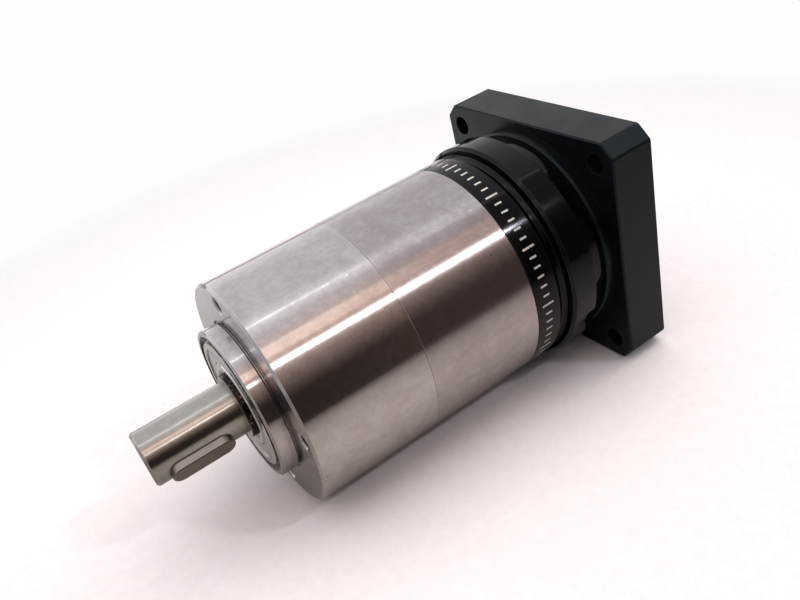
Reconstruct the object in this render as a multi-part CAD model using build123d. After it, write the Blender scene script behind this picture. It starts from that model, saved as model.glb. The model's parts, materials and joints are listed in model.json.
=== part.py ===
from build123d import *
import os
from math import acos, cos, degrees, pi, radians, sin, tan

# Two-stage planetary gearbox, 60 mm round body, 16:1.
# Origin: centre of the output mounting face.  The gear axis is Y: the output shaft points to -Y,
# the motor flange is at +Y.  +Z is square to the top side of the motor flange.  Millimetres.

os.makedirs("parts", exist_ok=True)

# ---- driving dimensions ------------------------------------------------------------------------

# Lengths along the gear axis
SHAFT_END = -30.0          # tip of the output shaft
COLLAR_FRONT = -4.8        # front of the centring collar
SEAM_FRONT = 32.7          # output housing meets ring gear housing
SEAM_REAR = 64.8           # ring gear housing meets adapter
ADAPTER_REAR = 89.0        # adapter meets motor flange
PLATE_FRONT = 92.0         # square plate of the motor flange
PLATE_REAR = 105.3         # motor face
SPIGOT = 2.0               # depth of the registers at both seams
END_GAP = 0.1              # axial play between neighbouring parts
BREAK = 0.3                # usual broken edge

# Housings
BODY_R = 30.0
SEAM_EDGE = 0.15           # broken edge on each side of a seam
RIM_EDGE = 0.6             # chamfer on the front rim of the body
COLLAR_R = 20.0
COLLAR_EDGE = 0.4          # chamfer on the outside of the collar
BORE_EDGE = 1.1            # chamfer at the mouth of the bearing bore
RELIEF = 0.4               # undercut in the corner between collar and mounting face
SHOULDER = 1.9             # height of the shoulder between the output bearings
SPIGOT_R = 23.4
CARRIER_SPACE_R = 22.2     # room for the carriers inside the housings

# Gears, both stages alike
MODULE = 0.7
SUN_TEETH = 21
PLANET_TEETH = 21
RING_TEETH = SUN_TEETH + 2 * PLANET_TEETH
PRESSURE = radians(20)
ADDENDUM = 1.0 * MODULE
DEDENDUM = 1.25 * MODULE
PLAY = 0.03                # thinning of each tooth flank at the pitch circle
FLANK_STEPS = 4
PLANETS = 3
CENTRES = MODULE * (SUN_TEETH + PLANET_TEETH) / 2

# Stages: each carrier is a disc, three webs and a rear ring around its planets
CARRIER_R = 20.7
WINDOW_R = 8.9             # room for a planet between two webs
SUN_PASS_R = 9.2           # hole in the rear ring for the sun
PIN_INSET = 2.0            # the planet pins stop this far behind the front of the disc
RUNNING = 0.03             # radial play of the planet bushes on their pins
BUSH_EDGE = 0.15
STAGE2 = dict(disc=28.2, window=34.2, washer=0.7, width=9.6, ring=4.0, pin_r=3.0, bush_r=4.2)
STAGE1 = dict(disc=50.2, window=53.7, washer=0.6, width=7.2, ring=3.0, pin_r=2.5, bush_r=3.6)
WASHER_R = 6.2
SUN2_STUB_R = 6.0          # end of the stage 2 sun, pressed into the stage 1 carrier
SUN2_GAP = 0.5             # between the stage 2 sun and the disc in front of it

# Output shaft and key
SHAFT_R = 7.0
SEAT_R = 8.5               # bearing seats
SHOULDER_R = 10.4
SHAFT_STEP = -6.0          # front of the bearing seat
SHAFT_EDGE = 0.6
KEY_WIDTH = 5.0
KEY_HEIGHT = 5.0
KEY_DEPTH = 3.4            # depth of the keyway
KEY_PLAY = 0.08            # keyway round the key
KEY_EDGE = 0.25
KEY_FRONT = -26.4
KEY_LENGTH = 16.0
KEY_ANGLE = -24.0
CENTRE_TAP_R = 2.1         # M5 core
CENTRE_TAP_DEPTH = 12.5
CENTRE_TAP_EDGE = 0.6

# Mounting holes in the output face: four M5 on 52 mm
OUTPUT_BOLT_PCD = 52.0
OUTPUT_TAP_R = 2.1
OUTPUT_TAP_DEPTH = 10.0
OUTPUT_TAP_EDGE = 0.4
OUTPUT_BOLT_ANGLE = 2.0
DRILL_POINT = 1.0          # depth of the cone that a drill leaves

# Bearings: width, bore, outside, ball, count
MAIN_BEARING = dict(width=10.0, bore=8.5, outside=17.5, ball=2.38, count=10)
INPUT_BEARING = dict(width=7.0, bore=8.5, outside=15.0, ball=1.6, count=13)
FRONT_BEARING_AT = -4.8    # flush with the collar
REAR_BEARING_AT = 17.4
INPUT_BEARING_AT = 67.6
LAND = 0.75                # race shoulders stand this share of a ball radius from the pitch circle
RACE_PLAY = 0.03
RACE_CORNER = 0.7          # chamfer on the outside of the outer ring
CAGE_HALF = 0.3            # half thickness of the cage, as a share of the ball radius
CAGE_MARGIN = 0.6          # the cage is wider than its balls by this much at each end
POCKET_PLAY = 0.08
SHIELD = 0.35              # shield thickness
SHIELD_INSET = 0.25
SHIELD_SEAT = 0.5          # the shield reaches this far into the outer ring
SHIELD_GAP = 0.12          # between the shield and the inner ring

# Retaining rings: thickness, radius of the free edge, radius of the eyes, angle of the gap
INPUT_RING = dict(thick=1.0, edge=13.6, eyes_at=13.4, gap_at=90)
HUB_RING = dict(thick=1.0, edge=10.2, eyes_at=10.3, gap_at=60)
LUG_R = 1.35
EYE_R = 0.65
RING_GAP = 16.0            # opening between the lugs, in degrees
BORE_GROOVE = 0.8
HUB_GROOVE = 0.4

# Adapter
FLUSH_RING_END = 72.5      # end of the ring that is flush with the body
FLUSH_EDGE = 0.4
BAND_FRONT = 75.7          # wider band behind the groove
BAND_REAR = 84.0
BAND_R = 31.5
BAND_EDGE = 0.8
GROOVE_R = 28.0
GROOVE_DEEPEST = 73.8
NECK_R = 28.5
WALL_FRONT = 65.9          # wall in front of the input bearing
WALL_HOLE_R = 13.2
CLAMP_SPACE_R = 19.5
CLAMP_SPACE_AT = 76.0

# Motor flange
PLATE_HALF = 32.5
CORNER_CUT = 3.6
PLATE_EDGE = 0.4
BOSS_R = 30.0
BOSS_EDGE = 0.5
FLANGE_SPIGOT = 1.8        # the flange reaches this far into the adapter
PILOT_R = 30.0             # 60 mm motor pilot
PILOT_DEPTH = 3.2
FLANGE_BORE_R = 16.5
MOTOR_BOLT_PCD = 75.0
MOTOR_BOLT_R = 2.75

# Screws: shank radius, head radius, head height, hexagon socket across flats
M3 = dict(shank=1.5, head=2.5, height=3.0, socket=2.5)
M4 = dict(shank=2.0, head=3.5, height=4.0, socket=3.0)
SOCKET_DEPTH = 0.55        # share of the head height
CLEARANCE = 0.1            # holes around a head or shank, on the radius
TAP_RUN_OUT = 1.0          # tapped holes go this much deeper than their screws
LONG_SCREW_AT = 25.4       # radius of the screws that hold the housings together
LONG_SCREW_SEAT = 80.0
LONG_SCREW_TIP = 24.0
FLANGE_SCREW_AT = 23.8
FLANGE_SCREW_ANGLE = 30.0
FLANGE_SCREW_SEAT = 97.9
FLANGE_SCREW_TIP = 82.5
SCREWS = 4

# Input hub and its clamp
HUB_R = 11.0
MOTOR_SHAFT_R = 7.0        # bore for a 14 mm motor shaft
MOTOR_BORE_AT = 74.9
MOTOR_BORE_EDGE = 0.5
HUB_REAR = 88.5
HUB_FRONT = 66.2
PINION_REAR = 65.4
HUB_NECK_R = 6.2
HUB_SLITS = 3
HUB_SLIT = 1.2
HUB_SLIT_AT = 77.0
CLAMP_FRONT = 76.4
CLAMP_REAR = 84.2
CLAMP_R = 17.6
CLAMP_SLIT = 1.6
CLAMP_SCREW_Z = 13.7       # height of the clamp screw over the gear axis
CLAMP_SCREW_Y = 80.2
CLAMP_SEAT_X = -5.0
CLAMP_TIP_X = 7.5
ACCESS_R = 3.25
PLUG_HEAD_R = 4.3
PLUG_SEAT_X = -25.0
PLUG_LENGTH = 3.0
PLUG_HEAD = 1.4
COIN_SLOT = 1.2


# ---- geometry helpers --------------------------------------------------------------------------

def turned(shape, angle):
    """Turn a shape about the gear axis, from +X towards +Z."""
    return Rot(0, -angle, 0) * shape


def at_angles(shape, count, first=0.0):
    """Copies of a shape spaced evenly about the gear axis."""
    return [turned(shape, first + 360.0 * i / count) for i in range(count)]


def without(body, cuts):
    for cut in cuts:
        body -= cut
    return body


def ring(points):
    """Solid of revolution about Y from (radius, y) points; repeated points are dropped."""
    outline = [point for i, point in enumerate(points) if point != points[i - 1]]
    return revolve(make_face(Polyline(*outline, close=True)), Axis.Y)


def rod(radius, y_from, y_to, x=0.0, z=0.0, edge=0.0):
    """Round bar along Y with broken edges."""
    return Pos(x, 0, z) * ring([
        (0, y_from), (radius - edge, y_from), (radius, y_from + edge),
        (radius, y_to - edge), (radius - edge, y_to), (0, y_to),
    ])


def tube(inner, outer, y_from, y_to, edge=0.0):
    """Hollow bar along Y with broken outer and inner edges."""
    return ring([
        (inner + edge, y_from), (outer - edge, y_from), (outer, y_from + edge), (outer, y_to - edge),
        (outer - edge, y_to), (inner + edge, y_to), (inner, y_to - edge), (inner, y_from + edge),
    ])


def prism(sketch, y_from, y_to):
    """Extrude a sketch drawn in X and Z along the gear axis."""
    return extrude(Plane.XZ.offset(-y_from) * sketch, amount=y_from - y_to)


def along_x(radius, x_from, x_to):
    """Round bar along X on the axis of the clamp screw."""
    bar = Rot(0, 90, 0) * Cylinder(radius, x_to - x_from)
    return Pos((x_from + x_to) / 2, CLAMP_SCREW_Y, CLAMP_SCREW_Z) * bar


def drilled(radius, mouth, bottom, edge, point=0.0):
    """Cutter for a blind hole along Y: a broken edge at its mouth, a cone or a flat at its bottom."""
    inward = 1 if bottom > mouth else -1
    return ring([
        (0, mouth), (radius + edge, mouth), (radius, mouth + inward * edge),
        (radius, bottom), (0, bottom + inward * point),
    ])


def cap_screw(size, seat, tip):
    """Socket cap screw along Y: the head is on the side of the seat away from the tip."""
    out = 1 if seat > tip else -1
    top = seat + out * size["height"]
    point = size["shank"] / 2
    body = ring([
        (0, tip), (size["shank"] - point / 2, tip), (size["shank"], tip + out * point),
        (size["shank"], seat), (size["head"], seat), (size["head"], top - out * BREAK),
        (size["head"] - BREAK, top), (0, top),
    ])
    socket = RegularPolygon(size["socket"] / 2, 6, major_radius=False)
    floor = top - out * size["height"] * SOCKET_DEPTH
    return body - prism(socket, min(floor, top), max(floor, top))


def retaining_ring(size, seat_r, y_from):
    """Open spring ring between its free edge and its seat, with two eyed lugs beside its gap."""
    inner, outer = sorted((size["edge"], seat_r))
    reach = 2 * outer
    gap_x = reach * cos(radians(RING_GAP / 2))
    gap_y = reach * sin(radians(RING_GAP / 2))
    flat = Circle(outer) - Circle(inner)
    flat -= make_face(Polyline((0, 0), (gap_x, -gap_y), (gap_x, gap_y), close=True))
    lug_angle = RING_GAP / 2 + degrees(LUG_R / size["eyes_at"])
    for side in (-1, 1):
        spot = Rot(0, 0, side * lug_angle) * Pos(size["eyes_at"], 0)
        flat += spot * Circle(LUG_R)
        flat -= spot * Circle(EYE_R)
    return turned(prism(flat, y_from, y_from + size["thick"]), size["gap_at"])


# ---- gears -------------------------------------------------------------------------------------

def involute(angle):
    return tan(angle) - angle


def gear_face(teeth, addendum, dedendum, play):
    """Outline of a gear with one tooth centred on +Z.  Used as the cutter for internal teeth too."""
    pitch_r = MODULE * teeth / 2
    base_r = pitch_r * cos(PRESSURE)
    tip_r = pitch_r + addendum
    root_r = pitch_r - dedendum
    foot_r = max(root_r, base_r)

    def half_angle(radius):
        at_pitch = pi / (2 * teeth) - play / pitch_r
        return at_pitch + involute(PRESSURE) - involute(acos(base_r / radius))

    def point(radius, angle):
        return (radius * cos(angle), radius * sin(angle))

    radii = [foot_r + (tip_r - foot_r) * i / FLANK_STEPS for i in range(FLANK_STEPS + 1)]
    edges = []
    for tooth in range(teeth):
        middle = pi / 2 + 2 * pi * tooth / teeth
        rising = [point(r, middle - half_angle(r)) for r in radii]
        falling = [point(r, middle + half_angle(r)) for r in reversed(radii)]
        edges.append(Spline(*rising))
        edges.append(ThreePointArc(rising[-1], point(tip_r, middle), falling[0]))
        edges.append(Spline(*falling))
        root_from = middle + half_angle(foot_r)
        root_to = middle + 2 * pi / teeth - half_angle(foot_r)
        if root_r < foot_r:
            edges.append(Line(falling[-1], point(root_r, root_from)))
            edges.append(Line(point(root_r, root_to), point(foot_r, root_to)))
        gap_middle = point(root_r, middle + pi / teeth)
        edges.append(ThreePointArc(point(root_r, root_from), gap_middle, point(root_r, root_to)))
    return make_face(edges)


def sun_gear(y_from, y_to):
    return prism(gear_face(SUN_TEETH, ADDENDUM, DEDENDUM, PLAY), y_from, y_to)


# ---- planetary stages --------------------------------------------------------------------------

def planet_front(stage):
    return stage["window"] + stage["washer"] + END_GAP


def window_end(stage):
    return planet_front(stage) + stage["width"] + END_GAP + stage["washer"]


def planet(stage):
    """Planet gear on +Z, bored for its bush."""
    face = gear_face(PLANET_TEETH, ADDENDUM, DEDENDUM, PLAY) - Circle(stage["bush_r"])
    front = planet_front(stage)
    return Pos(0, 0, CENTRES) * prism(face, front, front + stage["width"])


def bush(stage):
    front = planet_front(stage)
    inner = stage["pin_r"] + RUNNING
    sleeve = tube(inner, stage["bush_r"], front, front + stage["width"], BUSH_EDGE)
    return Pos(0, 0, CENTRES) * sleeve


def carrier_body(stage):
    """Disc, webs and rear ring of a one-piece carrier, with its pin holes."""
    disc, window, close = stage["disc"], stage["window"], window_end(stage)
    rear = close + stage["ring"]
    body = rod(CARRIER_R, disc, rear, edge=BREAK) - rod(SUN_PASS_R, window, rear)
    outward = Box(2 * WINDOW_R, close - window, 2 * (CARRIER_R - CENTRES))
    room = rod(WINDOW_R, window, close, z=CENTRES)
    room += Pos(0, (window + close) / 2, CARRIER_R) * outward
    hole = rod(stage["pin_r"], disc + PIN_INSET, rear, z=CENTRES)
    return without(body, at_angles(room, PLANETS) + at_angles(hole, PLANETS))


def pins(stage):
    rear = window_end(stage) + stage["ring"]
    pin = rod(stage["pin_r"], stage["disc"] + PIN_INSET, rear, z=CENTRES, edge=BREAK)
    return at_angles(pin, PLANETS)


def thrust_washers(stage):
    """A washer at each end of each planet."""
    washers = []
    for front in (stage["window"], window_end(stage) - stage["washer"]):
        washer = tube(stage["pin_r"], WASHER_R, front, front + stage["washer"])
        washers += at_angles(Pos(0, 0, CENTRES) * washer, PLANETS)
    return washers


def stage2_sun():
    """Sun of the output stage, pressed into the stage 1 carrier."""
    teeth = sun_gear(STAGE2["window"] + SUN2_GAP, STAGE1["disc"])
    return teeth + rod(SUN2_STUB_R, STAGE1["disc"], STAGE1["window"])


def stage1_carrier():
    return carrier_body(STAGE1) - rod(SUN2_STUB_R, STAGE1["disc"], STAGE1["window"])


# ---- bearings ----------------------------------------------------------------------------------

def bearing_parts(size, front):
    """Rings, balls, cage and shields of a ball bearing whose front face is at the given y."""
    ball = size["ball"]
    pitch = (size["bore"] + size["outside"]) / 2
    middle = front + size["width"] / 2
    rear = front + size["width"]
    track = revolve(Pos(pitch, middle) * Circle(ball + RACE_PLAY), Axis.Y)
    inner_land = pitch - LAND * ball
    outer_land = pitch + LAND * ball
    seat_r = outer_land + SHIELD_SEAT
    seat_depth = SHIELD_INSET + SHIELD
    inner = tube(size["bore"], inner_land, front, rear, BREAK) - track
    outer = ring([
        (outer_land, front), (size["outside"] - RACE_CORNER, front),
        (size["outside"], front + RACE_CORNER), (size["outside"], rear - RACE_CORNER),
        (size["outside"] - RACE_CORNER, rear), (outer_land, rear),
    ]) - track
    outer -= rod(seat_r, front, front + seat_depth)
    outer -= rod(seat_r, rear - seat_depth, rear)
    balls = at_angles(Pos(pitch, middle, 0) * Sphere(ball), size["count"])
    half_width = ball + CAGE_MARGIN
    half_wall = CAGE_HALF * ball
    cage = tube(pitch - half_wall, pitch + half_wall, middle - half_width, middle + half_width)
    pocket = Pos(pitch, middle, 0) * (Rot(0, 90, 0) * Cylinder(ball + POCKET_PLAY, 2 * ball))
    cage = without(cage, at_angles(pocket, size["count"]))
    lip = inner_land + SHIELD_GAP
    shields = [
        tube(lip, seat_r, front + SHIELD_INSET, front + seat_depth),
        tube(lip, seat_r, rear - seat_depth, rear - SHIELD_INSET),
    ]
    return dict(outer=outer, inner=inner, balls=balls, cage=cage, shields=shields)


# ---- housings ----------------------------------------------------------------------------------

def output_housing():
    """Front half of the steel body, with the collar, the bearing bores and the tapped holes."""
    bore = MAIN_BEARING["outside"]
    front_shoulder = FRONT_BEARING_AT + MAIN_BEARING["width"]
    rear_mouth = REAR_BEARING_AT + MAIN_BEARING["width"]
    body = ring([
        (bore + BORE_EDGE, COLLAR_FRONT), (COLLAR_R - COLLAR_EDGE, COLLAR_FRONT),
        (COLLAR_R, COLLAR_FRONT + COLLAR_EDGE), (COLLAR_R, -2 * RELIEF),
        (COLLAR_R - RELIEF, -RELIEF), (COLLAR_R - RELIEF, RELIEF),
        (COLLAR_R + RELIEF, RELIEF), (COLLAR_R + RELIEF, 0),
        (BODY_R - RIM_EDGE, 0), (BODY_R, RIM_EDGE),
        (BODY_R, SEAM_FRONT - SEAM_EDGE), (BODY_R - SEAM_EDGE, SEAM_FRONT),
        (SPIGOT_R, SEAM_FRONT), (SPIGOT_R, SEAM_FRONT + SPIGOT),
        (CARRIER_SPACE_R, SEAM_FRONT + SPIGOT), (CARRIER_SPACE_R, rear_mouth),
        (bore, rear_mouth), (bore, REAR_BEARING_AT), (bore - SHOULDER, REAR_BEARING_AT),
        (bore - SHOULDER, front_shoulder), (bore, front_shoulder), (bore, COLLAR_FRONT + BORE_EDGE),
    ])
    tapped = drilled(OUTPUT_TAP_R, 0, OUTPUT_TAP_DEPTH, OUTPUT_TAP_EDGE, DRILL_POINT)
    tapped = Pos(OUTPUT_BOLT_PCD / 2, 0, 0) * tapped
    threaded = rod(M3["shank"], LONG_SCREW_TIP - TAP_RUN_OUT, SEAM_FRONT, x=LONG_SCREW_AT)
    return without(body, at_angles(tapped, 4, OUTPUT_BOLT_ANGLE) + at_angles(threaded, SCREWS))


def ring_gear_housing():
    """Rear half of the steel body, with the internal teeth that both stages share."""
    body = rod(BODY_R, SEAM_FRONT, SEAM_REAR, edge=SEAM_EDGE)
    body -= prism(gear_face(RING_TEETH, DEDENDUM, ADDENDUM, -PLAY), SEAM_FRONT, SEAM_REAR)
    body -= rod(SPIGOT_R, SEAM_FRONT, SEAM_FRONT + SPIGOT + END_GAP)
    body -= rod(SPIGOT_R, SEAM_REAR - SPIGOT - END_GAP, SEAM_REAR)
    passage = rod(M3["shank"] + CLEARANCE, SEAM_FRONT, SEAM_REAR, x=LONG_SCREW_AT)
    return without(body, at_angles(passage, SCREWS))


def adapter_section():
    """Half section of the adapter as a face in radius and y."""
    bore = INPUT_BEARING["outside"]
    start = (SPIGOT_R, SEAM_REAR)
    groove_from = (BODY_R - FLUSH_EDGE, FLUSH_RING_END)
    groove_to = (BAND_R - BAND_EDGE, BAND_FRONT)
    groove = ThreePointArc(groove_from, (GROOVE_R, GROOVE_DEEPEST), groove_to)
    front = Polyline(
        start, (BODY_R - SEAM_EDGE, SEAM_REAR), (BODY_R, SEAM_REAR + SEAM_EDGE),
        (BODY_R, FLUSH_RING_END - FLUSH_EDGE), groove_from,
    )
    rest = Polyline(
        groove_to, (BAND_R, BAND_FRONT + BAND_EDGE), (BAND_R, BAND_REAR - BAND_EDGE),
        (BAND_R - BAND_EDGE, BAND_REAR), (NECK_R, BAND_REAR), (NECK_R, ADAPTER_REAR),
        (CLAMP_SPACE_R, ADAPTER_REAR), (CLAMP_SPACE_R, CLAMP_SPACE_AT), (bore, CLAMP_SPACE_AT),
        (bore, INPUT_BEARING_AT), (WALL_HOLE_R, INPUT_BEARING_AT), (WALL_HOLE_R, WALL_FRONT),
        (CARRIER_SPACE_R, WALL_FRONT), (CARRIER_SPACE_R, SEAM_REAR - SPIGOT),
        (SPIGOT_R, SEAM_REAR - SPIGOT), start,
    )
    return make_face([front, groove, rest])


def adapter_housing():
    """Black input adapter: flush ring, groove, wider band and neck."""
    body = revolve(adapter_section(), Axis.Y)
    bore = INPUT_BEARING["outside"]
    ring_at = INPUT_BEARING_AT + INPUT_BEARING["width"]
    body -= tube(bore - BORE_GROOVE, bore + BORE_GROOVE, ring_at, ring_at + INPUT_RING["thick"])
    body -= along_x(ACCESS_R, -BAND_R, CLAMP_SEAT_X)
    body -= along_x(PLUG_HEAD_R + CLEARANCE, -BAND_R, PLUG_SEAT_X)
    passage = rod(M3["shank"] + CLEARANCE, SEAM_REAR, LONG_SCREW_SEAT, x=LONG_SCREW_AT)
    pocket = rod(M3["head"] + CLEARANCE, LONG_SCREW_SEAT, ADAPTER_REAR, x=LONG_SCREW_AT)
    threaded = rod(M4["shank"], FLANGE_SCREW_TIP - TAP_RUN_OUT, ADAPTER_REAR, x=FLANGE_SCREW_AT)
    holes = at_angles(passage, SCREWS) + at_angles(pocket, SCREWS)
    return without(body, holes + at_angles(threaded, SCREWS, FLANGE_SCREW_ANGLE))


def access_plug():
    """Push-in plug over the hole that reaches the clamp screw, with a coin slot."""
    stem = along_x(ACCESS_R, PLUG_SEAT_X, PLUG_SEAT_X + PLUG_LENGTH)
    head = along_x(PLUG_HEAD_R, PLUG_SEAT_X - PLUG_HEAD, PLUG_SEAT_X)
    slot = Box(COIN_SLOT, COIN_SLOT, 1.5 * PLUG_HEAD_R)
    return stem + head - Pos(PLUG_SEAT_X - PLUG_HEAD, CLAMP_SCREW_Y, CLAMP_SCREW_Z) * slot


def motor_flange():
    """Square plate with cut corners, a round boss in front and the motor pilot behind."""
    outline = chamfer(Rectangle(2 * PLATE_HALF, 2 * PLATE_HALF).vertices(), CORNER_CUT)
    plate = prism(outline, PLATE_FRONT, PLATE_REAR)
    body = chamfer(plate.edges(), PLATE_EDGE) + ring([
        (0, ADAPTER_REAR), (BOSS_R - BOSS_EDGE, ADAPTER_REAR), (BOSS_R, ADAPTER_REAR + BOSS_EDGE),
        (BOSS_R, PLATE_FRONT + 1), (0, PLATE_FRONT + 1),
    ])
    body += rod(CLAMP_SPACE_R, ADAPTER_REAR - FLANGE_SPIGOT, ADAPTER_REAR)
    body -= rod(FLANGE_BORE_R, ADAPTER_REAR - FLANGE_SPIGOT, PLATE_REAR)
    floor = PLATE_REAR - PILOT_DEPTH
    body -= drilled(PILOT_R, PLATE_REAR, floor, BREAK)
    passage = rod(M4["shank"] + CLEARANCE, ADAPTER_REAR, FLANGE_SCREW_SEAT, x=FLANGE_SCREW_AT)
    pocket = rod(M4["head"] + CLEARANCE, FLANGE_SCREW_SEAT, floor, x=FLANGE_SCREW_AT)
    bolt = rod(MOTOR_BOLT_R, PLATE_FRONT, PLATE_REAR, x=MOTOR_BOLT_PCD / 2)
    holes = at_angles(passage + pocket, SCREWS, FLANGE_SCREW_ANGLE)
    return without(body, holes + at_angles(bolt, 4, 45))


def assembly_screws():
    """Four long screws from the adapter through the ring gear housing into the output housing."""
    screw = Pos(LONG_SCREW_AT, 0, 0) * cap_screw(M3, LONG_SCREW_SEAT, LONG_SCREW_TIP)
    return at_angles(screw, SCREWS)


def flange_screws():
    screw = Pos(FLANGE_SCREW_AT, 0, 0) * cap_screw(M4, FLANGE_SCREW_SEAT, FLANGE_SCREW_TIP)
    return at_angles(screw, SCREWS, FLANGE_SCREW_ANGLE)


# ---- output side -------------------------------------------------------------------------------

def key_bar(top, play=0.0):
    """Round-ended bar on the +X side of the shaft, from the floor of the keyway to a given height."""
    bottom = SHAFT_R - KEY_DEPTH
    outline = SlotOverall(KEY_LENGTH + 2 * play, KEY_WIDTH + 2 * play)
    bar = extrude(Plane.YZ.offset(bottom) * outline, amount=top - bottom)
    return Pos(0, KEY_FRONT + KEY_LENGTH / 2, 0) * bar


def output_shaft():
    """Keyed output shaft, in one piece with the stage 2 carrier."""
    rear_shoulder = REAR_BEARING_AT + MAIN_BEARING["width"]
    inside_disc = STAGE2["disc"] + 1
    shaft = ring([
        (0, SHAFT_END), (SHAFT_R - SHAFT_EDGE, SHAFT_END), (SHAFT_R, SHAFT_END + SHAFT_EDGE),
        (SHAFT_R, SHAFT_STEP), (SEAT_R - BREAK, SHAFT_STEP), (SEAT_R, SHAFT_STEP + BREAK),
        (SEAT_R, rear_shoulder), (SHOULDER_R, rear_shoulder), (SHOULDER_R, inside_disc),
        (0, inside_disc),
    ])
    shaft -= key_bar(SHAFT_R + 1, KEY_PLAY)
    tap_bottom = SHAFT_END + CENTRE_TAP_DEPTH
    shaft -= drilled(CENTRE_TAP_R, SHAFT_END, tap_bottom, CENTRE_TAP_EDGE, DRILL_POINT)
    return turned(shaft, KEY_ANGLE) + carrier_body(STAGE2)


def shaft_key():
    key = key_bar(SHAFT_R - KEY_DEPTH + KEY_HEIGHT)
    top_edges = key.faces().sort_by(Axis.X)[-1].edges()
    return turned(chamfer(top_edges, KEY_EDGE), KEY_ANGLE)


def bearing_spacer():
    """Tube on the shaft between the inner rings of the two output bearings."""
    front = FRONT_BEARING_AT + MAIN_BEARING["width"]
    return tube(SEAT_R, SHOULDER_R, front, REAR_BEARING_AT, BREAK)


# ---- input side --------------------------------------------------------------------------------

def input_hub():
    """Stage 1 sun in one piece with the slit hub that grips the motor shaft."""
    shoulder = INPUT_BEARING_AT + INPUT_BEARING["width"]
    ring_from = INPUT_BEARING_AT - HUB_RING["thick"]
    hub = ring([
        (0, PINION_REAR), (HUB_NECK_R, PINION_REAR), (HUB_NECK_R, HUB_FRONT),
        (SEAT_R, HUB_FRONT), (SEAT_R, ring_from), (SEAT_R - HUB_GROOVE, ring_from),
        (SEAT_R - HUB_GROOVE, INPUT_BEARING_AT), (SEAT_R, INPUT_BEARING_AT),
        (SEAT_R, shoulder), (HUB_R, shoulder), (HUB_R, HUB_REAR),
        (MOTOR_SHAFT_R + MOTOR_BORE_EDGE, HUB_REAR), (MOTOR_SHAFT_R, HUB_REAR - MOTOR_BORE_EDGE),
        (MOTOR_SHAFT_R, MOTOR_BORE_AT), (0, MOTOR_BORE_AT),
    ])
    hub += sun_gear(planet_front(STAGE1), PINION_REAR)
    slit_middle = (HUB_SLIT_AT + HUB_REAR) / 2
    slit = Pos(0, slit_middle, HUB_R) * Box(HUB_SLIT, HUB_REAR - HUB_SLIT_AT, HUB_R)
    return without(hub, at_angles(slit, HUB_SLITS))


def clamp_ring():
    """Split ring round the hub, drawn together by one screw."""
    width = CLAMP_REAR - CLAMP_FRONT
    body = tube(HUB_R, CLAMP_R, CLAMP_FRONT, CLAMP_REAR, BREAK)
    body -= Pos(0, CLAMP_FRONT + width / 2, CLAMP_R) * Box(CLAMP_SLIT, width, CLAMP_R)
    body -= along_x(M3["head"] + CLEARANCE, -CLAMP_R, CLAMP_SEAT_X)
    body -= along_x(M3["shank"], CLAMP_SEAT_X, CLAMP_TIP_X + TAP_RUN_OUT)
    return body


def clamp_screw():
    """Clamp screw along X, its head facing the access hole."""
    screw = Rot(0, 0, -90) * cap_screw(M3, CLAMP_SEAT_X, CLAMP_TIP_X)
    return Pos(0, CLAMP_SCREW_Y, CLAMP_SCREW_Z) * screw


# ---- build and write ---------------------------------------------------------------------------

def write(name, shape):
    """Write one node; a list of solids is a group of separate pieces."""
    if isinstance(shape, list):
        shape = Compound([solid for piece in shape for solid in piece.solids()])
    export_step(shape, f"parts/{name}.step")


def write_bearing(prefix, size, front, shielded):
    pieces = bearing_parts(size, front)
    if not shielded:
        del pieces["shields"]
    for piece, shape in pieces.items():
        write(f"{prefix}_bearing_{piece}", shape)


def write_stage(prefix, stage):
    planets = at_angles(planet(stage), PLANETS)
    bushes = at_angles(bush(stage), PLANETS)
    for number in range(PLANETS):
        write(f"{prefix}_planet_{number + 1}", planets[number])
        write(f"{prefix}_bush_{number + 1}", bushes[number])
    write(f"{prefix}_pins", pins(stage))
    write(f"{prefix}_washers", thrust_washers(stage))


write("output_housing", output_housing())
write("ring_gear_housing", ring_gear_housing())
write("adapter_housing", adapter_housing())
write("motor_flange", motor_flange())
write("access_plug", access_plug())
write("assembly_screws", assembly_screws())
write("flange_screws", flange_screws())

input_groove_r = INPUT_BEARING["outside"] + BORE_GROOVE
hub_groove_r = SEAT_R - HUB_GROOVE
write("input_retaining_ring", retaining_ring(
    INPUT_RING, input_groove_r, INPUT_BEARING_AT + INPUT_BEARING["width"]))
write("hub_retaining_ring", retaining_ring(
    HUB_RING, hub_groove_r, INPUT_BEARING_AT - HUB_RING["thick"]))

write("output_shaft", output_shaft())
write("shaft_key", shaft_key())
write("bearing_spacer", bearing_spacer())
write("stage1_carrier", stage1_carrier())
write("stage2_sun", stage2_sun())
write_stage("stage2", STAGE2)
write_stage("stage1", STAGE1)

write("input_hub", input_hub())
write("clamp_ring", clamp_ring())
write("clamp_screw", clamp_screw())

write_bearing("front", MAIN_BEARING, FRONT_BEARING_AT, True)
write_bearing("rear", MAIN_BEARING, REAR_BEARING_AT, False)
write_bearing("input", INPUT_BEARING, INPUT_BEARING_AT, True)
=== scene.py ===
import json
from math import cos, degrees, radians, sin

import bpy
from mathutils import Matrix, Vector


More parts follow.
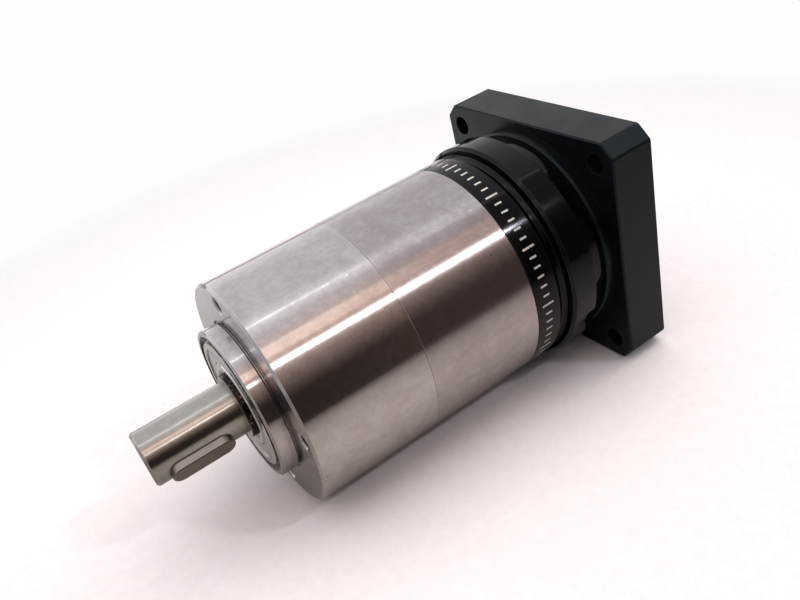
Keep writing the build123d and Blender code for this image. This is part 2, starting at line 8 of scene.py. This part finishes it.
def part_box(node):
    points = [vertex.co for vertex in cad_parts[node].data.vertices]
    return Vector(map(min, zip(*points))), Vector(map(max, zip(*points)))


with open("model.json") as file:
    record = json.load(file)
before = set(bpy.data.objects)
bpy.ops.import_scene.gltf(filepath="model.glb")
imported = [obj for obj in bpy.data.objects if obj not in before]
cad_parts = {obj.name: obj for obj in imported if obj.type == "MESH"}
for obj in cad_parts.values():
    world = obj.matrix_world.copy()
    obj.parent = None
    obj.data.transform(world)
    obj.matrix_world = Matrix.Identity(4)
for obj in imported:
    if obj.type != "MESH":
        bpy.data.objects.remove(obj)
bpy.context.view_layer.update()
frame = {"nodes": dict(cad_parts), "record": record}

# Looks of the planetary gearbox: materials, floor, light and camera around the fixed CAD frame.
# Metres; the gear axis is Y, the output shaft points to -Y, +Z is up.

MM = 0.001
UM = 0.000001
NODES = frame["nodes"]
SCENE = bpy.context.scene


def linear(red, green, blue):
    """Colour given as 0-255 display values, turned into linear light with full alpha."""
    def channel(value):
        value /= 255
        return value / 12.92 if value <= 0.04045 else ((value + 0.055) / 1.055) ** 2.4
    return (channel(red), channel(green), channel(blue), 1.0)


def grey(value):
    return (value, value, value, 1.0)


# ---- shader building -----------------------------------------------------------------------------

EDGE_TURN = (0.995, 0.9)     # cosines of the turn that counts as the start and the whole of an edge
LINE_EDGE = 0.15             # share of a line's half width over which it fades, inside and outside


class Shader:
    """Short calls that add nodes to one node tree; a value may be a number, a colour or an output."""

    def __init__(self, tree):
        self.tree = tree
        self.tree.nodes.clear()

    def node(self, kind, inputs=None, **settings):
        node = self.tree.nodes.new(kind)
        for name, value in settings.items():
            setattr(node, name, value)
        for name, value in (inputs or {}).items():
            self.feed(node.inputs[name], value)
        return node

    def feed(self, socket, value):
        if isinstance(value, bpy.types.NodeSocket):
            self.tree.links.new(value, socket)
        elif value is not None:
            socket.default_value = value

    def place(self):
        """Position on the object at rest, in metres in the CAD frame."""
        return self.node("ShaderNodeTexCoord").outputs["Object"]

    def scaled(self, vector, scale):
        node = self.node("ShaderNodeVectorMath", {0: vector, 1: scale}, operation="MULTIPLY")
        return node.outputs[0]

    def split(self, vector):
        return self.node("ShaderNodeSeparateXYZ", {0: vector}).outputs

    def joined(self, x, y, z):
        return self.node("ShaderNodeCombineXYZ", {0: x, 1: y, 2: z}).outputs[0]

    def math(self, operation, first, second=None):
        inputs = {0: first} if second is None else {0: first, 1: second}
        return self.node("ShaderNodeMath", inputs, operation=operation).outputs[0]

    def noise(self, vector, scale=1.0, detail=2.0, roughness=0.5, distortion=0.0):
        node = self.node("ShaderNodeTexNoise", {
            "Vector": vector, "Scale": scale, "Detail": detail, "Roughness": roughness,
            "Distortion": distortion,
        })
        return node.outputs[0]

    def cells(self, vector, scale):
        """Distance to the nearest of a cloud of points."""
        return self.node("ShaderNodeTexVoronoi", {"Vector": vector, "Scale": scale}).outputs["Distance"]

    def span(self, value, low, high, to_low=0.0, to_high=1.0):
        """Value from low..high carried to to_low..to_high, held at the ends."""
        node = self.node("ShaderNodeMapRange", {0: value, 1: low, 2: high, 3: to_low, 4: to_high})
        return node.outputs[0]

    def mix(self, share, first, second, blend="MIX"):
        node = self.node("ShaderNodeMix", data_type="RGBA", blend_type=blend)
        self.feed(node.inputs[0], share)
        self.feed(node.inputs[6], first)
        self.feed(node.inputs[7], second)
        return node.outputs[2]

    def times(self, colour, level):
        """Colour made lighter or darker by a level."""
        return self.mix(1.0, colour, self.joined(level, level, level), "MULTIPLY")

    def zone(self, value, start, end, soft):
        """1 between start and end, falling to 0 over a soft margin outside them."""
        after_start = self.span(value, start - soft, start)
        return self.math("MULTIPLY", after_start, self.span(value, end + soft, end))

    def line(self, off, half):
        """1 where the distance off its middle is within a line's half width, 0 outside."""
        return self.span(off, half * (1 + LINE_EDGE), half * (1 - LINE_EDGE))

    def off_axis(self, x, z):
        """Distance from the gear axis."""
        flat = self.joined(x, 0.0, z)
        return self.node("ShaderNodeVectorMath", {0: flat}, operation="LENGTH").outputs["Value"]

    def bump(self, height, distance, normal=None):
        node = self.node("ShaderNodeBump", {
            "Height": height, "Distance": distance, "Strength": 1.0, "Normal": normal,
        })
        return node.outputs[0]

    def across_marks(self):
        """Direction across turning marks that run round the gear axis: highlights stretch along it."""
        lie = self.node("ShaderNodeVectorMath", {0: (0, 1, 0), 1: self.place()}, operation="CROSS_PRODUCT")
        lie = self.node("ShaderNodeVectorTransform", {0: lie.outputs[0]},
                        vector_type="VECTOR", convert_from="OBJECT", convert_to="WORLD")
        normal = self.node("ShaderNodeNewGeometry").outputs["Normal"]
        across = {0: normal, 1: lie.outputs[0]}
        return self.node("ShaderNodeVectorMath", across, operation="CROSS_PRODUCT").outputs[0]

    def shelter(self, reach):
        """1 on open faces, towards 0 in corners narrower than the reach."""
        return self.node("ShaderNodeAmbientOcclusion", {"Distance": reach}, samples=6).outputs["AO"]

    def edges(self, radius):
        """1 where the surface turns sharply within a radius, 0 on open faces."""
        soft = self.node("ShaderNodeBevel", {"Radius": radius}, samples=4).outputs[0]
        true = self.node("ShaderNodeNewGeometry").outputs["Normal"]
        facing = self.node("ShaderNodeVectorMath", {0: soft, 1: true}, operation="DOT_PRODUCT")
        return self.span(facing.outputs["Value"], *EDGE_TURN)


# dark colour painted in two rings at the joints of the front bearing, where the parts meet
DARK_RING_OUTSIDE = (16.7 * MM, 18.7 * MM)     # radii of the dark ring painted round the front bearing
DARK_RING_INSIDE = (8.2 * MM, 9.6 * MM)        # and round the shaft where it leaves the bearing
DARK_RINGS_FROM_Y = -6.3 * MM
DARK_RINGS_TO_Y = -3.4 * MM
DARK_RING_FADES = (1.02, 0.9)                  # in shares of a ring's half width
DARK_RING_SPECKS = (0.66, 0.55)                # noise levels between which it thins out
DARK_RING_COVERS = (0.5, 0.97)


def bearing_dark_rings(s, place, speckle):
    """Nearly 1 in two narrow rings at the output bearing where the colour is made dark, 0 elsewhere."""
    x, y, z = s.split(place)
    radius = s.off_axis(x, z)
    thin, full = DARK_RING_FADES
    rings = 0.0
    for inner, outer in (DARK_RING_OUTSIDE, DARK_RING_INSIDE):
        middle = (inner + outer) / 2
        half = (outer - inner) / 2
        off = s.math("ABSOLUTE", s.math("SUBTRACT", radius, middle))
        rings = s.math("ADD", rings, s.span(off, half * thin, half * full))
    front = s.math("MULTIPLY", s.math("LESS_THAN", y, DARK_RINGS_TO_Y), s.math("GREATER_THAN", y, DARK_RINGS_FROM_Y))
    cover = s.span(speckle, *DARK_RING_SPECKS, *DARK_RING_COVERS)
    return s.math("MULTIPLY", s.math("MULTIPLY", rings, front), cover)


def material(name):
    made = bpy.data.materials.new(name)
    made.use_nodes = True
    return made, Shader(made.node_tree)


def surface(shader, **inputs):
    """Principled surface; names are the socket names with _ for spaces."""
    values = {name.replace("_", " "): value for name, value in inputs.items()}
    principled = shader.node("ShaderNodeBsdfPrincipled", values)
    shader.node("ShaderNodeOutputMaterial", {0: principled.outputs[0]})


# ---- materials -----------------------------------------------------------------------------------

STEEL = linear(203, 202, 203)
DULL_STEEL = linear(190, 187, 190)
SHAFT_STEEL = linear(184, 186, 180)
# dark colour for painted shade in corners, mixed with grime, and for the dark rings at the bearing
SHADE_AND_GRIME = linear(44, 35, 29)
BROWN_PATINA = linear(150, 122, 112)
GREY_PATINA = linear(140, 126, 122)
BRIGHT_FLECK = linear(228, 225, 225)
# pale colour painted along the steel edges as a highlight
PAINTED_EDGE_GLINT = linear(250, 246, 244)
PIT = linear(70, 60, 56)
# paler colour on black edges: partly rubbed anodising, partly a painted highlight
RUBBED_EDGE_AND_SHEEN = linear(96, 98, 100)
PRINT_INK = linear(222, 214, 208)
STAIN = linear(96, 84, 74)
# pale colour painted along edges as a highlight, mostly on the key
PAINTED_EDGE_HIGHLIGHT = linear(235, 228, 220)


RINGS_PER_METRE = 5000.0
MARK_DEPTH = 1.2 * UM


def turned_steel(name, colour, roughness, stain=0.19, pits=True, brushed=0.9, shade_grime_share=0.85):
    """Turned and brushed steel: rings round the axis, mottled patina, smooth flecks, pits, a painted glint
    along the edges, painted shade with grime in corners.
    """
    made, s = material(name)
    place = s.place()
    rings = s.noise(s.scaled(place, (60, RINGS_PER_METRE, 60)), detail=3.0, roughness=0.7)
    brush = s.noise(s.scaled(place, (200, RINGS_PER_METRE * 0.4, 200)), detail=4.0, roughness=0.65)
    grain = s.noise(s.scaled(place, (1500, 1500, 1500)), detail=3.0, roughness=0.6)
    mottle = s.noise(s.scaled(place, (520, 380, 520)), detail=5.0, roughness=0.7)
    cloud = s.noise(s.scaled(place, (90, 110, 90)), detail=4.0, roughness=0.6, distortion=0.6)
    tone = s.mix(s.span(cloud, 0.42, 0.7, 0.0, stain), colour, BROWN_PATINA)
    tone = s.mix(s.span(mottle, 0.42, 0.66, 0.0, stain), tone, GREY_PATINA)
    tone = s.mix(s.span(mottle, 0.45, 0.3, 0.0, stain), tone, BRIGHT_FLECK)
    # painted highlight: the colour is made paler along sharp edges, a glint
    tone = s.mix(s.math("MULTIPLY", s.edges(0.22 * MM), 0.7), tone, PAINTED_EDGE_GLINT)
    if pits:
        pit = s.span(s.cells(place, 230.0), 0.06, 0.03)
        some = s.span(s.noise(place, scale=150.0), 0.54, 0.6)
        tone = s.mix(s.math("MULTIPLY", pit, some), tone, PIT)
    # painted shade: darker in corners and crevices by ambient occlusion, mixed with grime, together with
    # the dark rings at the bearing
    shade_grime_and_rings = s.math("MULTIPLY", s.span(s.shelter(1.4 * MM), 0.75, 0.3), s.span(mottle, 0.25, 0.6, 0.5, 1.0))
    shade_grime_and_rings = s.math("MAXIMUM", s.math("MULTIPLY", shade_grime_and_rings, shade_grime_share), bearing_dark_rings(s, place, grain))
    tone = s.mix(shade_grime_and_rings, tone, SHADE_AND_GRIME)
    rough = s.span(brush, 0.3, 0.7, roughness * 0.93, roughness * 1.07)
    rough = s.math("ADD", rough, s.span(cloud, 0.4, 0.8, 0.0, 0.03))
    rough = s.math("MULTIPLY", rough, s.span(grain, 0.4, 0.33, 1.0, 0.45))
    rough = s.math("ADD", rough, s.math("MULTIPLY", shade_grime_and_rings, 0.25))
    normal = s.bump(rings, MARK_DEPTH)
    normal = s.bump(grain, MARK_DEPTH, normal=normal)
    surface(s, Base_Color=tone, Metallic=1.0, Roughness=rough, Normal=normal,
            Anisotropic=brushed, Tangent=s.across_marks())
    return made


def black_anodised(name, gloss, shine, tint, base, scale_at=None):
    """Black anodised aluminium: faint tool marks, dusty patches, paler edges that are partly rubbed and
    partly a painted highlight, a printed scale.
    """
    made, s = material(name)
    place = s.place()
    tool = s.noise(s.scaled(place, (120, 3000, 120)), detail=3.0, roughness=0.6)
    grain = s.noise(s.scaled(place, (2200, 2200, 2200)), detail=2.0)
    dust = s.noise(s.scaled(place, (90, 90, 90)), detail=4.0, roughness=0.6)
    tone = s.mix(s.span(dust, 0.4, 0.75), base, tuple(channel * 2 for channel in base[:3]) + (1.0,))
    # edges made paler: partly rubbed anodising, partly a painted highlight
    edge_wear_and_sheen = s.math("MULTIPLY", s.edges(0.3 * MM), s.span(dust, 0.35, 0.6))
    tone = s.mix(s.math("MULTIPLY", edge_wear_and_sheen, 0.2), tone, RUBBED_EDGE_AND_SHEEN)
    rough = s.span(dust, 0.3, 0.75, gloss * 0.85, gloss * 1.25)
    if scale_at is not None:
        ink = s.math("MULTIPLY", scale_marks(s, place, scale_at), s.span(grain, 0.25, 0.4))
        tone = s.mix(ink, tone, PRINT_INK)
        rough = s.math("MAXIMUM", rough, s.math("MULTIPLY", ink, 0.5))
    normal = s.bump(tool, MARK_DEPTH)
    normal = s.bump(grain, UM, normal=normal)
    surface(s, Base_Color=tone, Roughness=rough, Normal=normal, Specular_IOR_Level=shine,
            Specular_Tint=tint)
    return made


MARK_STEP = 5.0            # degrees between the printed marks, every sixth one long
LONG_MARK_STEP = 30.0
MARK_HALF_WIDTH = 0.5      # degrees
MARK_HALF = 1.0 * MM
LONG_MARK_HALF = 1.8 * MM
LONG_MARK_REACH = (1.5, 1.0)   # degrees from a long mark's middle where short passes into long
PRINTED_FROM_R = 29.7 * MM


def scale_marks(s, place, centre):
    """1 on the plain printed marks round a cylinder, 0 elsewhere; centre is their place along the axis."""
    x, y, z = s.split(place)
    turn = s.math("MULTIPLY", s.math("ARCTAN2", z, x), degrees(1))

    def off_mark(step):
        shifted = s.math("ADD", turn, 360 + step / 2)
        return s.math("ABSOLUTE", s.math("SUBTRACT", s.math("MODULO", shifted, step), step / 2))

    line = s.line(off_mark(MARK_STEP), MARK_HALF_WIDTH)
    half = s.span(off_mark(LONG_MARK_STEP), *LONG_MARK_REACH, MARK_HALF, LONG_MARK_HALF)
    inside = s.math("LESS_THAN", s.math("ABSOLUTE", s.math("SUBTRACT", y, centre)), half)
    radius = s.off_axis(x, z)
    outside = s.math("GREATER_THAN", radius, PRINTED_FROM_R)
    return s.math("MULTIPLY", s.math("MULTIPLY", line, inside), outside)


def ground_steel(name, colour, roughness, edge_highlight_share=0.0):
    """Plain ground steel for small and hidden pieces: fine grain, a soft stain, a painted highlight on the
    edges, painted shade with grime in corners.
    """
    made, s = material(name)
    place = s.place()
    grain = s.noise(s.scaled(place, (900, 2600, 900)), detail=3.0, roughness=0.6)
    cloud = s.noise(s.scaled(place, (160, 160, 160)), detail=3.0)
    tone = s.mix(s.span(cloud, 0.35, 0.75, 0.0, 0.3), colour, STAIN)
    # painted highlight: the colour is made paler along sharp edges
    tone = s.mix(s.math("MULTIPLY", s.edges(0.2 * MM), edge_highlight_share), tone, PAINTED_EDGE_HIGHLIGHT)
    # painted shade: darker in corners and crevices by ambient occlusion, mixed with grime, together with
    # the dark rings at the bearing
    shade_grime_and_rings = s.math("MULTIPLY", s.span(s.shelter(1.0 * MM), 0.7, 0.3), 0.8)
    shade_grime_and_rings = s.math("MAXIMUM", shade_grime_and_rings, bearing_dark_rings(s, place, s.noise(s.scaled(place, (1500, 1500, 1500)))))
    tone = s.mix(shade_grime_and_rings, tone, SHADE_AND_GRIME)
    rough = s.span(grain, 0.3, 0.7, roughness * 0.85, roughness * 1.15)
    surface(s, Base_Color=tone, Metallic=1.0, Roughness=rough, Normal=s.bump(grain, 1.5 * UM))
    return made


def moulded_plastic(name, colour):
    made, s = material(name)
    place = s.place()
    grain = s.noise(s.scaled(place, (2600, 2600, 2600)), detail=2.0)
    cloud = s.noise(s.scaled(place, (300, 300, 300)), detail=3.0)
    tone = s.mix(s.span(cloud, 0.4, 0.7), colour, grey(0.02))
    surface(s, Base_Color=tone, Roughness=s.span(grain, 0.3, 0.7, 0.4, 0.6), Normal=s.bump(grain, 10 * UM))
    return made


SCALE_AT = 68.4 * MM       # middle of the printed scale, along the gear axis
ADAPTER_TINT = linear(238, 238, 255)
FLANGE_TINT = linear(190, 222, 240)
FLANGE_BASE = (0.002, 0.0034, 0.0045, 1.0)

MATERIALS = {
    "housing_steel": turned_steel("housing_steel", STEEL, 0.15),
    "black_anodised": black_anodised("black_anodised", 0.085, 0.27, ADAPTER_TINT, grey(0.0018),
                                     scale_at=SCALE_AT),
    "shaft_steel": turned_steel("shaft_steel", SHAFT_STEEL, 0.2, stain=0.15, pits=False, brushed=0.8,
                                shade_grime_share=1.0),
    "key_steel": ground_steel("key_steel", linear(158, 150, 144), 0.32, edge_highlight_share=0.6),
    "gear_steel": ground_steel("gear_steel", linear(170, 168, 166), 0.25),
    "carrier_steel": ground_steel("carrier_steel", linear(160, 156, 152), 0.32),
    "bearing_steel": ground_steel("bearing_steel", linear(228, 226, 224), 0.1),
    "shield_steel": ground_steel("shield_steel", linear(208, 206, 206), 0.16),
    "cage_steel": ground_steel("cage_steel", linear(180, 174, 166), 0.3),
    "spring_steel": ground_steel("spring_steel", linear(70, 66, 64), 0.35),
    "screw_steel": ground_steel("screw_steel", linear(60, 60, 62), 0.35),
    "bronze": ground_steel("bronze", linear(196, 150, 96), 0.3),
    "plug_plastic": moulded_plastic("plug_plastic", grey(0.012)),
}
# Two nodes look duller than the others of their slot
DULLER = {
    "motor_flange": black_anodised("black_anodised_satin", 0.36, 0.33, FLANGE_TINT, FLANGE_BASE),
    "ring_gear_housing": turned_steel("housing_steel_dull", DULL_STEEL, 0.2),
}

for part in frame["record"]["subparts"]:
    look = DULLER.get(part["node"], MATERIALS[part["material_slot"]])
    for slot in NODES[part["node"]].material_slots:
        slot.material = look


# ---- floor ---------------------------------------------------------------------------------------

FLOOR_RIGHT = 0.275            # the pale table ends here, on the side of the camera
FLOOR_LEFT = -0.9
FLOOR_ENDS = 0.9
FLOOR_CENTRE = (0, 45 * MM, 0)
FADE_FROM = 0.15               # the camera sees the floor fade out between these distances
FADE_TO = 0.26
PAPER = (linear(246, 240, 241), linear(250, 245, 246))
# To all rays but the camera's, the floor's colour carries painted light and shade: brightest on the far
# side, falling off towards the camera
FLOOR_FAR = 0.95
FLOOR_MIDDLE = 0.62
FLOOR_NEAR = 0.14
FAR_STRIP = (-0.14, -0.08)     # the far level passes into the middle one between these X
NEAR_STRIP = (0.05, 0.24)      # and the middle one into the near one
WARM_STRIP = (-0.1, 0.05)      # the tint sets in
WARM_TINT = (1.0, 0.88, 0.82, 1.0)
AHEAD_STRIP = (-0.045, 0.02)   # between these Y it gets darker towards the front
AHEAD_LEVEL = 0.5


def floor_corners():
    """A plane under the front rim of the body and the lower edge of the flange, which both rest on it."""
    rim_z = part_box("output_housing")[0].z
    flange_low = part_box("motor_flange")[0]
    slope = (flange_low.z - rim_z) / flange_low.y    # the rim is at Y = 0
    outline = [(FLOOR_LEFT, -FLOOR_ENDS), (FLOOR_RIGHT, -FLOOR_ENDS), (FLOOR_RIGHT, FLOOR_ENDS),
               (FLOOR_LEFT, FLOOR_ENDS)]
    return [(x, y, rim_z + slope * y) for x, y in outline]


def floor_material():
    """Plain pale paper to the camera; to all other rays it carries painted light and shade that change
    across the studio.
    """
    made, s = material("floor")
    place = s.place()
    across, along, up = s.split(place)
    fibre = s.noise(s.scaled(place, (400, 400, 400)), detail=2.0)
    paper = s.mix(s.span(fibre, 0.3, 0.7), *PAPER)
    level = s.span(across, *FAR_STRIP, FLOOR_FAR, FLOOR_MIDDLE)
    level = s.math("MULTIPLY", level, s.span(across, *NEAR_STRIP, 1.0, FLOOR_NEAR / FLOOR_MIDDLE))
    tint = s.mix(s.span(across, *WARM_STRIP), grey(1.0), WARM_TINT)
    reflected = s.times(s.times(tint, level), s.span(along, *AHEAD_STRIP, AHEAD_LEVEL, 1.0))
    camera_ray = s.node("ShaderNodeLightPath").outputs["Is Camera Ray"]
    diffuse = s.node("ShaderNodeBsdfDiffuse", {"Color": s.mix(camera_ray, reflected, paper)}).outputs[0]
    clear = s.node("ShaderNodeBsdfTransparent").outputs[0]
    away = s.node("ShaderNodeVectorMath", {0: place, 1: FLOOR_CENTRE}, operation="DISTANCE")
    fade = s.math("MULTIPLY", camera_ray, s.span(away.outputs["Value"], FADE_FROM, FADE_TO))
    both = s.node("ShaderNodeMixShader", {0: fade, 1: diffuse, 2: clear}).outputs[0]
    s.node("ShaderNodeOutputMaterial", {0: both})
    return made


floor_mesh = bpy.data.meshes.new("floor")
floor_mesh.from_pydata(floor_corners(), [], [(0, 1, 2, 3)])
floor_mesh.materials.append(floor_material())
floor = bpy.data.objects.new("floor", floor_mesh)
SCENE.collection.objects.link(floor)


# ---- surroundings and light ----------------------------------------------------------------------

# A small studio, by the angle in degrees round the gear axis: 0 is +X, 90 is overhead, 180 is -X.
# Mirror rays see a dark camera side, a wall that gets lighter upwards, a pale ceiling and far side,
# and a few bright strips.  Matt faces are lit by a softer sum.  The camera sees a plain backdrop.
# A pair is where a change starts and where it is complete, or the two sides of a zone or panel.
STRENGTH = 3.0
BACKDROP = linear(254, 252, 255)
PALE = (0.85, 0.81, 0.83, 1.0)
WARM_WALL = (1.0, 0.75, 0.62, 1.0)   # tint of the lower wall
WARM_FADES = (55, 88)
WALL_LIGHTENS = (8.0, 53.0)
WALL_CURVE = 2.0                     # above 1, the wall stays dark for longer
DARK = 0.04
TABLE_ENDS = (-8, -14)               # past the edge of the table
BELOW_GLOW = 0.3
PANEL = (57.5, 67.0)                 # warm light panel near the front end
PANEL_SOFT = 1.5
PANEL_GLOW = 0.75
CEILING_AT = 92.0                    # soft light overhead
CEILING_SOFT = 12.0
CEILING_GLOW = 0.35
FAR_WALL = (150, 185)                # the far wall brightens towards the horizon
FAR_GLOW = 0.4
# A narrow window, and a thin bright edge overhead
WINDOW_AT = 49.0
WINDOW_HALF = 2.2
WINDOW_GLOW = 4.5
WINDOW_FRONT = 0.2                   # share of its glow that is left at the front end
WINDOW_DIM = 0.5                     # and share that is left where it dims
REAR_WINDOW_HALF = 1.0
REAR_WINDOW_GLOW = 170.0
GLINT_AT = 91.5
REAR_GLINT_AT = 86.0
GLINT_HALF = 0.6
GLINT_GLOW = 1.7
# Rays that lean to +Y, by their angle off the square plane, see the rear of the studio
REAR_OF_ROOM = (16, 25)
REAR_LIFT = 0.06                     # its dark side is a little lighter
LIFTED_SIDE = (0, 44)
LIFT_SOFT = 20
REAR_LOSS = 0.13                     # and all of it loses this share
WINDOW_STARTS = (5.7, 9.8)
WINDOW_DIMS = (18, 21)
REAR_WINDOW_STARTS = (26.8, 27.4)
WINDOW_ENDS = (30.3, 31.0)
GLINT_SLANTS = (17, 27)              # the thin edge passes to its rear place
REAR_DIMS = (28, 29.5)
REAR_DIM = 0.5                       # the very rear loses this share, but not on the far side
REAR_DIM_SIDE = (110, 80)
END_WALL = 0.45                      # what the end faces mirror
END_WALL_SEEN = (0.75, 0.95)         # by how far along the axis a ray points
# What lights the matt faces
OVERHEAD = (72, 112)
OVERHEAD_SOFT = 16
OVERHEAD_LIGHT = 2.2
SIDE = (40, 180)
SIDE_LIGHT = 0.8
CAMERA_SIDE_LIGHT = 0.15
FRONT_FALLS = (-0.7, 0.2)            # by how far along the axis a ray points
FRONT_LIGHT = 0.45
LIGHT_COLOUR = (1.0, 0.97, 0.95, 1.0)


class Studio(Shader):
    """World shader: what a ray meets by the direction in which it leaves the object."""

    def __init__(self, tree):
        super().__init__(tree)
        ray = self.node("ShaderNodeTexCoord").outputs["Generated"]
        x, self.ray_y, z = self.split(ray)
        self.angle = self.math("MULTIPLY", self.math("ARCTAN2", z, x), degrees(1))

    def leaning(self, between, front=0.0, rear=1.0):
        """Front value for rays that lean less than the first angle, rear value beyond the second."""
        low, high = between
        return self.span(self.ray_y, sin(radians(low)), sin(radians(high)), front, rear)

    def beam(self, at, half, glow):
        """Bright line of light at an angle round the axis."""
        off = self.math("ABSOLUTE", self.math("SUBTRACT", self.angle, at))
        return self.math("MULTIPLY", self.line(off, half), glow)

    def wall_level(self, rear):
        """Brightness of the wall, ceiling and far side; rear is 1 for rays to the rear of the room."""
        level = self.math("POWER", self.span(self.angle, *WALL_LIGHTENS), WALL_CURVE)
        level = self.math("MAXIMUM", level, self.span(rear, 0.0, 1.0, DARK, DARK * 2))
        level = self.math("MAXIMUM", level, self.span(self.angle, *TABLE_ENDS, 0.0, BELOW_GLOW))
        lifted = self.zone(self.angle, *LIFTED_SIDE, LIFT_SOFT)
        lifted = self.math("MULTIPLY", lifted, self.math("MULTIPLY", rear, REAR_LIFT))
        level = self.math("ADD", level, lifted)
        ceiling = self.zone(self.angle, CEILING_AT, CEILING_AT, CEILING_SOFT)
        ceiling = self.math("MULTIPLY", ceiling, CEILING_GLOW)
        far = self.span(self.angle, *FAR_WALL, 0.0, FAR_GLOW)
        level = self.math("ADD", level, self.math("ADD", ceiling, far))
        kept = self.math("SUBTRACT", 1.0, self.math("MULTIPLY", rear, REAR_LOSS))
        return self.math("MULTIPLY", level, kept)

    def walls(self):
        """Colour of the walls and ceiling with the warm panel."""
        rear = self.leaning(REAR_OF_ROOM)
        warm = self.mix(1.0, PALE, WARM_WALL, "MULTIPLY")
        colour = self.mix(self.span(self.angle, *WARM_FADES), warm, PALE)
        colour = self.times(colour, self.wall_level(rear))
        panel = self.math("MULTIPLY", self.zone(self.angle, *PANEL, PANEL_SOFT), PANEL_GLOW)
        panel = self.math("MULTIPLY", panel, self.math("SUBTRACT", 1.0, rear))
        colour = self.mix(1.0, colour, self.times(WARM_WALL, panel), "ADD")
        dim = self.leaning(REAR_DIMS, 0.0, REAR_DIM)
        dim = self.math("MULTIPLY", dim, self.span(self.angle, *REAR_DIM_SIDE))
        return self.times(self.times(colour, 1.0 / STRENGTH), self.math("SUBTRACT", 1.0, dim))

    def bright_lines(self):
        """The window, its brighter rear end and the thin edge overhead."""
        glow = self.leaning(WINDOW_STARTS, WINDOW_GLOW * WINDOW_FRONT / STRENGTH, WINDOW_GLOW / STRENGTH)
        glow = self.math("MULTIPLY", glow, self.leaning(WINDOW_DIMS, 1.0, WINDOW_DIM))
        window = self.beam(WINDOW_AT, WINDOW_HALF, glow)
        rear_glow = self.leaning(REAR_WINDOW_STARTS, 0.0, REAR_WINDOW_GLOW / STRENGTH)
        window = self.math("ADD", window, self.beam(WINDOW_AT, REAR_WINDOW_HALF, rear_glow))
        window = self.math("MULTIPLY", window, self.leaning(WINDOW_ENDS, 1.0, 0.0))
        glint_at = self.leaning(GLINT_SLANTS, GLINT_AT, REAR_GLINT_AT)
        return self.math("ADD", window, self.beam(glint_at, GLINT_HALF, GLINT_GLOW / STRENGTH))

    def mirrored(self):
        """What mirror rays see: the room, and a plain wall beyond either end of the gearbox."""
        lines = self.bright_lines()
        room = self.mix(1.0, self.walls(), self.joined(lines, lines, lines), "ADD")
        beyond = self.span(self.math("ABSOLUTE", self.ray_y), *END_WALL_SEEN)
        return self.mix(beyond, room, grey(END_WALL / STRENGTH))

    def soft_light(self):
        """What lights the matt faces."""
        side = self.span(self.math("ABSOLUTE", self.angle), *SIDE, CAMERA_SIDE_LIGHT, SIDE_LIGHT)
        overhead = self.math("MULTIPLY", self.zone(self.angle, *OVERHEAD, OVERHEAD_SOFT), OVERHEAD_LIGHT)
        level = self.math("DIVIDE", self.math("ADD", side, overhead), STRENGTH)
        front = self.span(self.ray_y, *FRONT_FALLS, FRONT_LIGHT, 1.0)
        return self.times(self.times(LIGHT_COLOUR, level), front)

    def connect(self):
        """Give each kind of ray its own surroundings."""
        path = self.node("ShaderNodeLightPath").outputs
        seen = self.mix(path["Is Diffuse Ray"], self.mirrored(), self.soft_light())
        backdrop = tuple(channel / STRENGTH for channel in BACKDROP[:3]) + (1.0,)
        seen = self.mix(path["Is Camera Ray"], seen, backdrop)
        light = self.node("ShaderNodeBackground", {"Color": seen, "Strength": STRENGTH}).outputs[0]
        self.node("ShaderNodeOutputWorld", {0: light})


world = bpy.data.worlds.new("studio")
world.use_nodes = True
Studio(world.node_tree).connect()
SCENE.world = world


# ---- camera --------------------------------------------------------------------------------------

CAMERA_TARGET = Vector((-1.2, 44.8, 1.7)) * MM
CAMERA_AZIMUTH = radians(64.43)
CAMERA_ELEVATION = radians(32.27)
CAMERA_ROLL = radians(16.02)
CAMERA_DISTANCE = 210.5 * MM
CAMERA_LENS = 35.9
CAMERA_SENSOR = 36.0
CAMERA_NEAR = 10 * MM

back = Vector((
    sin(CAMERA_AZIMUTH) * cos(CAMERA_ELEVATION),
    -cos(CAMERA_AZIMUTH) * cos(CAMERA_ELEVATION),
    sin(CAMERA_ELEVATION),
))
level = (-back).to_track_quat("-Z", "Y")
rolled = Matrix.Rotation(-CAMERA_ROLL, 3, "Z").to_quaternion()

camera_data = bpy.data.cameras.new("camera")
camera_data.lens = CAMERA_LENS
camera_data.sensor_width = CAMERA_SENSOR
camera_data.clip_start = CAMERA_NEAR
camera = bpy.data.objects.new("camera", camera_data)
camera.location = CAMERA_TARGET + back * CAMERA_DISTANCE
camera.rotation_mode = "QUATERNION"
camera.rotation_quaternion = level @ rolled
SCENE.collection.objects.link(camera)
SCENE.camera = camera
SCENE.view_settings.view_transform = "Standard"
